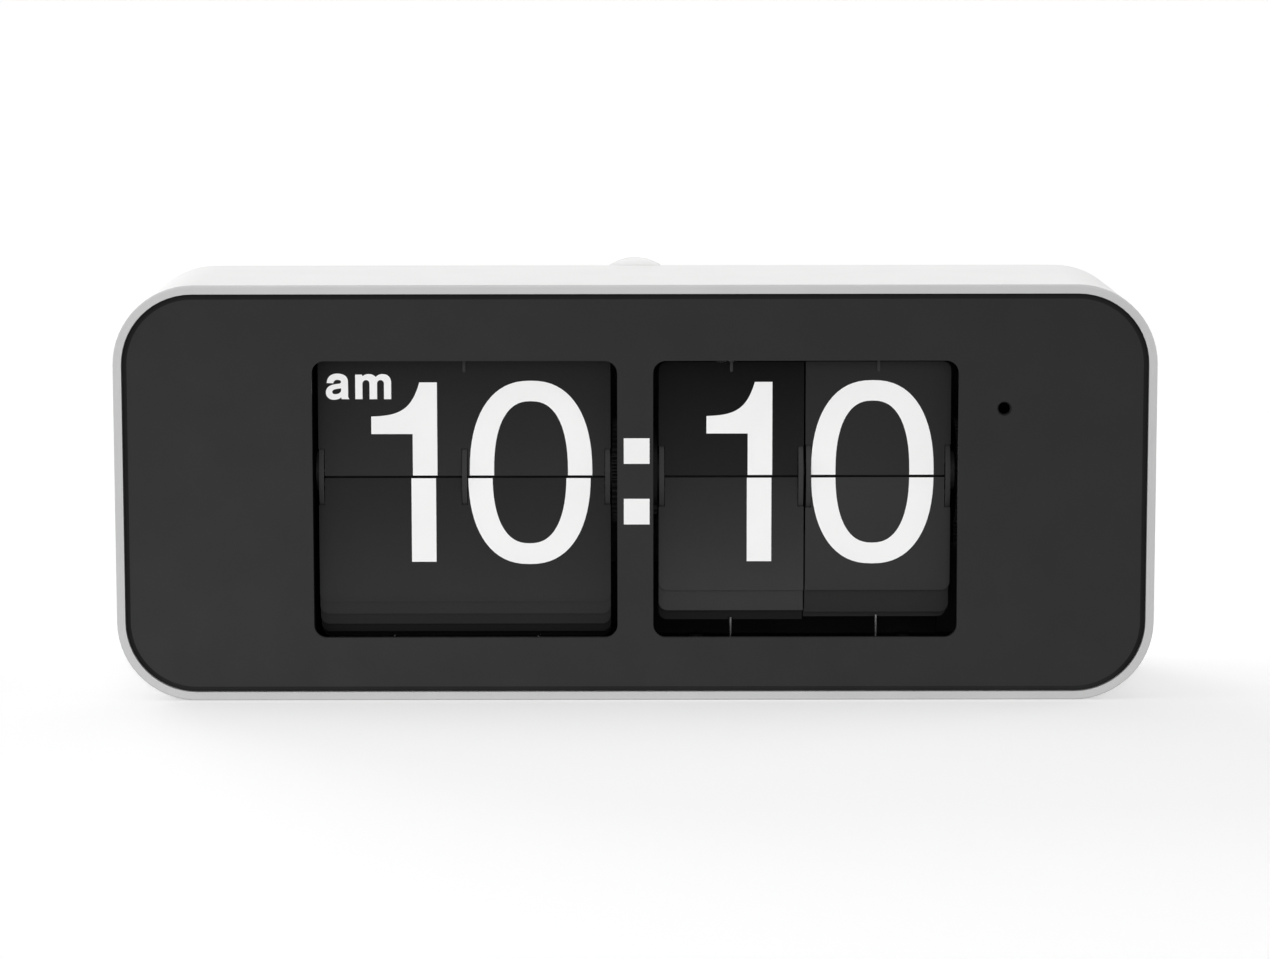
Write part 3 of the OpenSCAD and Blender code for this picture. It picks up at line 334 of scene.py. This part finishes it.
LETTER_A = bezier(
    (0.31, 5.68), ((2.58, 5.59),), ((2.7, 6.3), (3.3, 6.8), (3.95, 6.8)), ((4.8, 6.8), (5.3, 6.5), (5.3, 6.05)),
    ((5.3, 5.6), (4.9, 5.45), (4.2, 5.4)), ((2.0, 5.15), (0, 4.6), (0, 2.4)), ((0, 0.8), (1.1, -0.2), (2.77, -0.2)),
    ((3.9, -0.2), (4.8, 0.15), (5.31, 0.62)), ((5.5, 0),), ((8.19, 0),), ((7.9, 0.3), (7.77, 0.6), (7.72, 1.0)),
    ((7.72, 6.04),), ((7.72, 7.9), (6.4, 8.98), (3.95, 8.98)), ((1.8, 8.98), (0.45, 7.8), (0.31, 5.68)))[:-1]
COUNTER_A = bezier(
    (5.31, 3.85), ((4.2, 3.6), (2.2, 3.6), (2.2, 2.6)), ((2.2, 2.0), (2.7, 1.75), (3.25, 1.75)),
    ((4.5, 1.75), (5.31, 2.4), (5.31, 3.15)))
LETTER_M = bezier(
    (0, 0), ((0, 8.6),), ((2.35, 8.6),), ((2.6, 8.0),), ((3.2, 8.6), (3.9, 8.8), (4.7, 8.8)),
    ((5.8, 8.8), (6.6, 8.4), (7.15, 7.75)), ((7.7, 8.4), (8.6, 8.8), (9.5, 8.8)),
    ((11.4, 8.8), (12.5, 7.6), (12.5, 5.8)), ((12.5, 0),), ((10.0, 0),), ((10.0, 5.3),),
    ((10.0, 6.2), (9.5, 6.68), (8.8, 6.68)), ((8.0, 6.68), (7.6, 6.1), (7.6, 5.3)), ((7.6, 0),), ((4.97, 0),),
    ((4.97, 5.3),), ((4.97, 6.2), (4.5, 6.68), (3.8, 6.68)), ((3.0, 6.68), (2.5, 6.1), (2.5, 5.3)), ((2.5, 0),))


def half_figure(outline, x, side):
    """What the upper (side 1) or lower (side -1) leaf shows of a figure in one stroke."""
    return [cut(moved(outline, x, FIGURE_FOOT), side * SPLIT, side)]


def half_zero(x, side):
    """An arch: half of the ring between two superellipses."""
    first, last = (-ARC_SPARE, 180 + ARC_SPARE) if side > 0 else (180 - ARC_SPARE, 360 + ARC_SPARE)
    outer = superellipse(x, *ZERO_OUTER, first, last)
    inner = superellipse(x, *ZERO_INNER, first, last)
    return [cut(outer + inner[::-1], side * SPLIT, side)]


# ---------------------------------------------------------------- pieces of the scene's own


def add_piece(name, mesh, material, body):
    """Puts a mesh into the scene as a piece that rides on a body."""
    mesh.materials.clear()
    mesh.materials.append(material)
    piece = bpy.data.objects.new(name, mesh)
    bpy.context.scene.collection.objects.link(piece)
    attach(piece, body)
    return piece


def close_mesh(mesh):
    """Joins points that coincide and turns all faces outwards."""
    shape = bmesh.new()
    shape.from_mesh(mesh)
    bmesh.ops.remove_doubles(shape, verts=shape.verts, dist=1e-4 * MM)
    bmesh.ops.recalc_face_normals(shape, faces=shape.faces)
    shape.to_mesh(mesh)
    shape.free()


# ---------------------------------------------------------------- printed figures

PRINT_SINK = 0.02 * MM
PRINT_PROUD = 0.04 * MM


def printed(name, loops, y, body, material=PRINT):
    """A thin print on a face that looks to the front at depth y; loops are in millimetres from the axle."""
    curve = bpy.data.curves.new(name, "CURVE")
    curve.dimensions = "2D"
    curve.fill_mode = "BOTH"
    curve.extrude = (PRINT_SINK + PRINT_PROUD) / 2
    for loop in loops:
        spline = curve.splines.new("POLY")
        spline.points.add(len(loop) - 1)
        for point, (x, z) in zip(spline.points, loop):
            point.co = (x * MM, z * MM, 0, 1)
        spline.use_cyclic_u = True
    source = bpy.data.objects.new(name + "_outline", curve)
    bpy.context.scene.collection.objects.link(source)
    mesh = bpy.data.meshes.new_from_object(source.evaluated_get(bpy.context.evaluated_depsgraph_get()))
    bpy.data.objects.remove(source)

    middle = y - (PRINT_PROUD - PRINT_SINK) / 2
    mesh.transform(Matrix.Translation((0, middle, AXLE.z)) @ Matrix.Rotation(math.pi / 2, 4, "X"))
    close_mesh(mesh)
    mesh.name = name
    return add_piece(name, mesh, material, body)


def on_waiting_leaf(piece, pitch):
    """Moves a print from the display's upper leaf to the leaf that waits behind it."""
    turn = Matrix.Translation(AXLE) @ Matrix.Rotation(-pitch, 4, "X") @ Matrix.Translation(-AXLE)
    piece.data.transform(turn)


def on_leaf_back(piece, upper_pivot, lower_pivot):
    """Moves a print from the display's lower leaf to the back of the upper leaf, which falls into that place."""
    turn = Matrix.Translation(upper_pivot) @ Matrix.Rotation(math.pi, 4, "X") @ Matrix.Translation(-lower_pivot)
    piece.data.transform(turn)


def figures(drum, now, following, mark=()):
    """Prints the shown figure on a drum's two display leaves, and the following one where the step shows it."""
    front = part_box(drum + "_upper_leaf")[0].y
    upper_pivot = Vector(JOINTS[drum + "_leaf_fall"]["pos_m"])
    lower_pivot = Vector(JOINTS[drum + "_leaf_hang"]["pos_m"])
    pitch = math.radians(JOINTS[drum + "_step"]["range_deg"][1])
    printed(drum + "_figure_upper", [*now(1), *mark], front, drum + "_upper")
    printed(drum + "_figure_lower", now(-1), front, drum + "_lower")
    waiting = printed(drum + "_next_upper", [*following(1), *mark], front, drum + "_drum")
    on_waiting_leaf(waiting, pitch)
    back = printed(drum + "_next_lower", following(-1), front, drum + "_upper")
    on_leaf_back(back, upper_pivot, lower_pivot)


HOUR_TEN_X = -77.67             # a one's stem
HOUR_UNIT_X = -36.4             # the middle of a place
TENS_X = 39.29                  # a one's stem
UNITS_X = 82.9                  # the middle of a place
ONE_IN_PLACE = 8.0              # a one's stem from the middle of its place
TWO_FROM_ONE = -28.4            # a two's foot from a one's stem
HOUR_SHIFT = -0.55              # the lower leaves' prints stand a little to the left of the upper ones
TENS_SHIFT = -0.25
MARK_A_X, MARK_M_X, MARK_FOOT = -107.78, -97.54, 27.36
MARK = [moved(LETTER_A, MARK_A_X, MARK_FOOT), moved(COUNTER_A, MARK_A_X, MARK_FOOT),
        moved(LETTER_M, MARK_M_X, MARK_FOOT)]


def below(side, shift):
    """The shift of a lower print."""
    return shift if side < 0 else 0


def hour_ten(side):
    shift = below(side, HOUR_SHIFT)
    return half_figure(ONE, HOUR_TEN_X + shift, side) + half_zero(HOUR_UNIT_X + shift, side)


def hour_eleven(side):
    return half_figure(ONE, HOUR_TEN_X, side) + half_figure(ONE, HOUR_UNIT_X + ONE_IN_PLACE, side)


figures("hour", hour_ten, hour_eleven, MARK)
figures("tens", lambda side: half_figure(ONE, TENS_X + below(side, TENS_SHIFT), side),
        lambda side: half_figure(TWO, TENS_X + TWO_FROM_ONE, side))
figures("units", lambda side: half_zero(UNITS_X, side), lambda side: half_figure(ONE, UNITS_X + ONE_IN_PLACE, side))

# ---------------------------------------------------------------- panel

COLON_X = (-3.95, 4.95)
COLON_Z = ((6.55, 15.45), (-14.6, -5.65))
panel_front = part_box("front_panel")[0].y
for name, (z0, z1) in zip(("colon_upper", "colon_lower"), COLON_Z):
    square = [(COLON_X[0], z0), (COLON_X[1], z0), (COLON_X[1], z1), (COLON_X[0], z1)]
    printed(name, [square], panel_front, "case", COLON)

BAND_GAP = 0.05                 # from the panel's edge
BAND_W = 1.7
BAND_PROUD, BAND_SINK = 0.02, 0.03
BEVEL_W, BEVEL_D = 1.5, 0.5
PANEL_R = 24.45


def rounded_loop(width, height, radius, steps=20):
    """A rounded rectangle about the origin, in millimetres."""
    points = []
    for corner, (sx, sz) in enumerate(((1, 1), (-1, 1), (-1, -1), (1, -1))):
        for i in range(steps + 1):
            angle = math.radians(90 * (corner + i / steps))
            points.append((sx * (width / 2 - radius) + radius * math.cos(angle),
                           sz * (height / 2 - radius) + radius * math.sin(angle)))
    return points


def edge_band():
    """A painted shadow on the panel's bevelled edge, for the shade in the gap by the rim: a thin dark ring that lies
    on the bevel and ends just over its top.
    """
    low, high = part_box("front_panel")
    width, height = (high.x - low.x) / MM, (high.z - low.z) / MM
    middle_x, middle_z = (low.x + high.x) / 2, (low.z + high.z) / 2
    insets = (BAND_GAP, BEVEL_W, BAND_W)
    rows = []
    for inset, lift in [(inset, BAND_PROUD) for inset in insets] + [(inset, -BAND_SINK) for inset in insets[::-1]]:
        depth = BEVEL_D * max(0.0, 1 - inset / BEVEL_W) - lift
        loop = rounded_loop(width - 2 * inset, height - 2 * inset, PANEL_R - inset)
        rows.append([(middle_x + x * MM, low.y + depth * MM, middle_z + z * MM) for x, z in loop])
    count = len(rows[0])
    faces = []
    for r in range(len(rows)):
        after = (r + 1) % len(rows)
        for i in range(count):
            j = (i + 1) % count
            faces.append((r * count + i, after * count + i, after * count + j, r * count + j))
    mesh = bpy.data.meshes.new("panel_edge_shadow_band")
    mesh.from_pydata([point for row in rows for point in row], [], faces)
    close_mesh(mesh)
    add_piece("panel_edge_shadow_band", mesh, EDGE_SHADOW, "case")


edge_band()

# ---------------------------------------------------------------- screws of the back

HEAD_R, HEAD_H, SHANK_R = 2.8 * MM, 1.6 * MM, 1.3 * MM
# The crowned head, in shares of its radius and height
PAN = ((0.60, 1.00), (0.70, 0.985), (0.80, 0.94), (0.89, 0.85), (0.96, 0.70), (1.00, 0.50), (1.00, 0.0))
CROSS_ARM, CROSS_HALF, CROSS_D = 1.55 * MM, 0.36 * MM, 0.9 * MM
CROSS_FLOOR = 0.62              # the recess's floor against its mouth
ROUND = 48                      # points round a screw
SHARP = math.radians(35)        # edges over this angle stay sharp


def cross(arm, half):
    """The outline of a cross about the origin."""
    return [(arm, -half), (arm, half), (half, half), (half, arm), (-half, arm), (-half, half), (-arm, half),
            (-arm, -half), (-half, -half), (-half, -arm), (half, -arm), (half, -half)]


def circle(radius):
    angles = [2 * math.pi * i / ROUND for i in range(ROUND)]
    return [(radius * math.cos(angle), radius * math.sin(angle)) for angle in angles]


def add_screw(shape, seat, length):
    """Adds a pan-head screw with a cross recess to a bmesh; its head looks to +Y from the seat."""
    def row(loop, height):
        return [shape.verts.new(seat + Vector((x, height, z))) for x, z in loop]

    def join(first, second):
        for i in range(len(first)):
            j = (i + 1) % len(first)
            shape.faces.new((first[i], first[j], second[j], second[i]))

    def fill(*rows):
        corners = [corner for loop in rows for corner in loop]
        for triangle in tessellate_polygon([[corner.co.xzy for corner in loop] for loop in rows]):
            shape.faces.new([corners[i] for i in triangle])

    rings = [row(circle(share * HEAD_R), rise * HEAD_H) for share, rise in PAN]
    rings += [row(circle(SHANK_R), 0), row(circle(SHANK_R), SHANK_R - length), row(circle(SHANK_R / 3), -length)]
    for first, second in zip(rings, rings[1:]):
        join(first, second)
    shape.faces.new(rings[-1])
    mouth = row(cross(CROSS_ARM, CROSS_HALF), HEAD_H)
    recess = row(cross(CROSS_ARM * CROSS_FLOOR, CROSS_HALF * CROSS_FLOOR), HEAD_H - CROSS_D)
    fill(rings[0], mouth)
    join(mouth, recess)
    fill(recess)


def centres(low, high):
    """The one or two places of the screws along an axis, from the ends of their heads."""
    return [low + HEAD_R, high - HEAD_R] if high - low > 3 * HEAD_R else [(low + high) / 2]


def detailed_screws(node):
    """Screws with real heads in the place of a node's plain ones."""
    low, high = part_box(node)
    shape = bmesh.new()
    for x in centres(low.x, high.x):
        for z in centres(low.z, high.z):
            add_screw(shape, Vector((x, high.y - HEAD_H, z)), high.y - HEAD_H - low.y)
    bmesh.ops.recalc_face_normals(shape, faces=shape.faces)
    name = node + "_cross_head"
    mesh = bpy.data.meshes.new(name)
    shape.to_mesh(mesh)
    shape.free()
    mesh.polygons.foreach_set("use_smooth", [True] * len(mesh.polygons))
    mesh.set_sharp_from_angle(angle=SHARP)
    piece = add_piece(name, mesh, STEEL, "case")
    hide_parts(node)


detailed_screws("rear_cover_screws")
detailed_screws("hanger_screws")

# ---------------------------------------------------------------- floor and light

FLOOR_HALF = 30.0
FLOOR_DROP = 0.05 * MM          # under the part
FLOOR_LIT = 0.22                # its shade for the light that it throws back at the part
FLOOR_SEEN, FLOOR_GLOW = 0.60, 0.48
WORLD_LIGHT, WORLD_SEEN = 0.15, 1.0


def white_for_viewers(tree, shaded, viewed):
    """Mixes two shaders: one for the light that reaches the part, one for what camera, gloss and glass see."""
    path = tree.nodes.new("ShaderNodeLightPath").outputs
    seen = math_node(tree, "MAXIMUM", path["Is Camera Ray"], path["Is Glossy Ray"])
    seen = math_node(tree, "MAXIMUM", seen, path["Is Transmission Ray"])
    mix = tree.nodes.new("ShaderNodeMixShader")
    for socket, value in zip(mix.inputs, (seen, shaded, viewed)):
        tree.links.new(value, socket)
    return mix.outputs[0]


def simple_shader(tree, kind, **inputs):
    """A shader node with plain inputs."""
    node = tree.nodes.new(kind)
    for socket, value in inputs.items():
        node.inputs[socket].default_value = value
    return node.outputs[0]


floor_mesh = bpy.data.meshes.new("floor")
floor_mesh.from_pydata([(sx * FLOOR_HALF, sy * FLOOR_HALF, 0) for sx, sy in ((-1, -1), (1, -1), (1, 1), (-1, 1))],
                       [], [(0, 1, 2, 3)])
floor = bpy.data.objects.new("floor", floor_mesh)
floor.location.z = -FLOOR_DROP
bpy.context.scene.collection.objects.link(floor)
floor_material = bpy.data.materials.new("floor_white")
floor_material.use_nodes = True
floor_tree = floor_material.node_tree
floor_tree.nodes.remove(floor_tree.nodes["Principled BSDF"])
pale = floor_tree.nodes.new("ShaderNodeAddShader")
floor_tree.links.new(simple_shader(floor_tree, "ShaderNodeBsdfDiffuse", Color=(*grey(FLOOR_SEEN), 1)), pale.inputs[0])
floor_tree.links.new(simple_shader(floor_tree, "ShaderNodeEmission", Strength=FLOOR_GLOW), pale.inputs[1])
lit = simple_shader(floor_tree, "ShaderNodeBsdfDiffuse", Color=(*grey(FLOOR_LIT), 1))
floor_tree.links.new(white_for_viewers(floor_tree, lit, pale.outputs[0]),
                     floor_tree.nodes["Material Output"].inputs["Surface"])
floor_mesh.materials.append(floor_material)

world = bpy.data.worlds.new("studio")
bpy.context.scene.world = world
world.use_nodes = True
world_tree = world.node_tree
world_shades = [simple_shader(world_tree, "ShaderNodeBackground", Color=(1, 1, 1, 1), Strength=strength)
                for strength in (WORLD_LIGHT, WORLD_SEEN)]
world_tree.links.new(white_for_viewers(world_tree, *world_shades),
                     world_tree.nodes["World Output"].inputs["Surface"])


def sun(name, towards, strength, spread):
    """A soft far light from the given direction; a strength of 1 lights a facing surface at its own colour.

    Gloss shows the pale studio and not the lamps, so that white plastic keeps its shade from every side.
    """
    lamp = bpy.data.lights.new(name, "SUN")
    lamp.energy = strength * math.pi
    lamp.angle = math.radians(spread)
    holder = bpy.data.objects.new(name, lamp)
    holder.rotation_euler = Vector(towards).to_track_quat("Z", "Y").to_euler()
    holder.visible_glossy = False
    bpy.context.scene.collection.objects.link(holder)


sun("front_light", (0.0, -1.0, 0.12), 0.95, 24)
sun("top_light", (0.0, 0.0, 1.0), 0.18, 60)
sun("left_light", (-1.0, 0.15, 0.35), 0.45, 60)
sun("right_light", (1.0, 0.15, 0.35), 0.40, 60)
sun("rear_light", (-0.55, 1.0, 0.36), 0.55, 36)

# ---------------------------------------------------------------- camera

IMAGE_W = 1270
FOCAL_PX = 4196.0
CAMERA_DISTANCE = 1.450
CAMERA_PITCH = math.radians(7.627)
CAMERA_ROLL = -0.0012
AIM = Vector((-0.00008, -0.0456, 0.0774))
camera_data = bpy.data.cameras.new("camera")
camera_data.sensor_fit = "HORIZONTAL"
camera_data.sensor_width = 36.0
camera_data.lens = camera_data.sensor_width * FOCAL_PX / IMAGE_W
camera_data.clip_end = 200.0
camera = bpy.data.objects.new("camera", camera_data)
away = Vector((0, -math.cos(CAMERA_PITCH), math.sin(CAMERA_PITCH)))
camera.location = AIM + away * CAMERA_DISTANCE
camera.rotation_euler = (away.to_track_quat("Z", "Y") @ Quaternion((0, 0, 1), CAMERA_ROLL)).to_euler()
bpy.context.scene.collection.objects.link(camera)
bpy.context.scene.camera = camera
bpy.context.scene.view_settings.view_transform = "Standard"
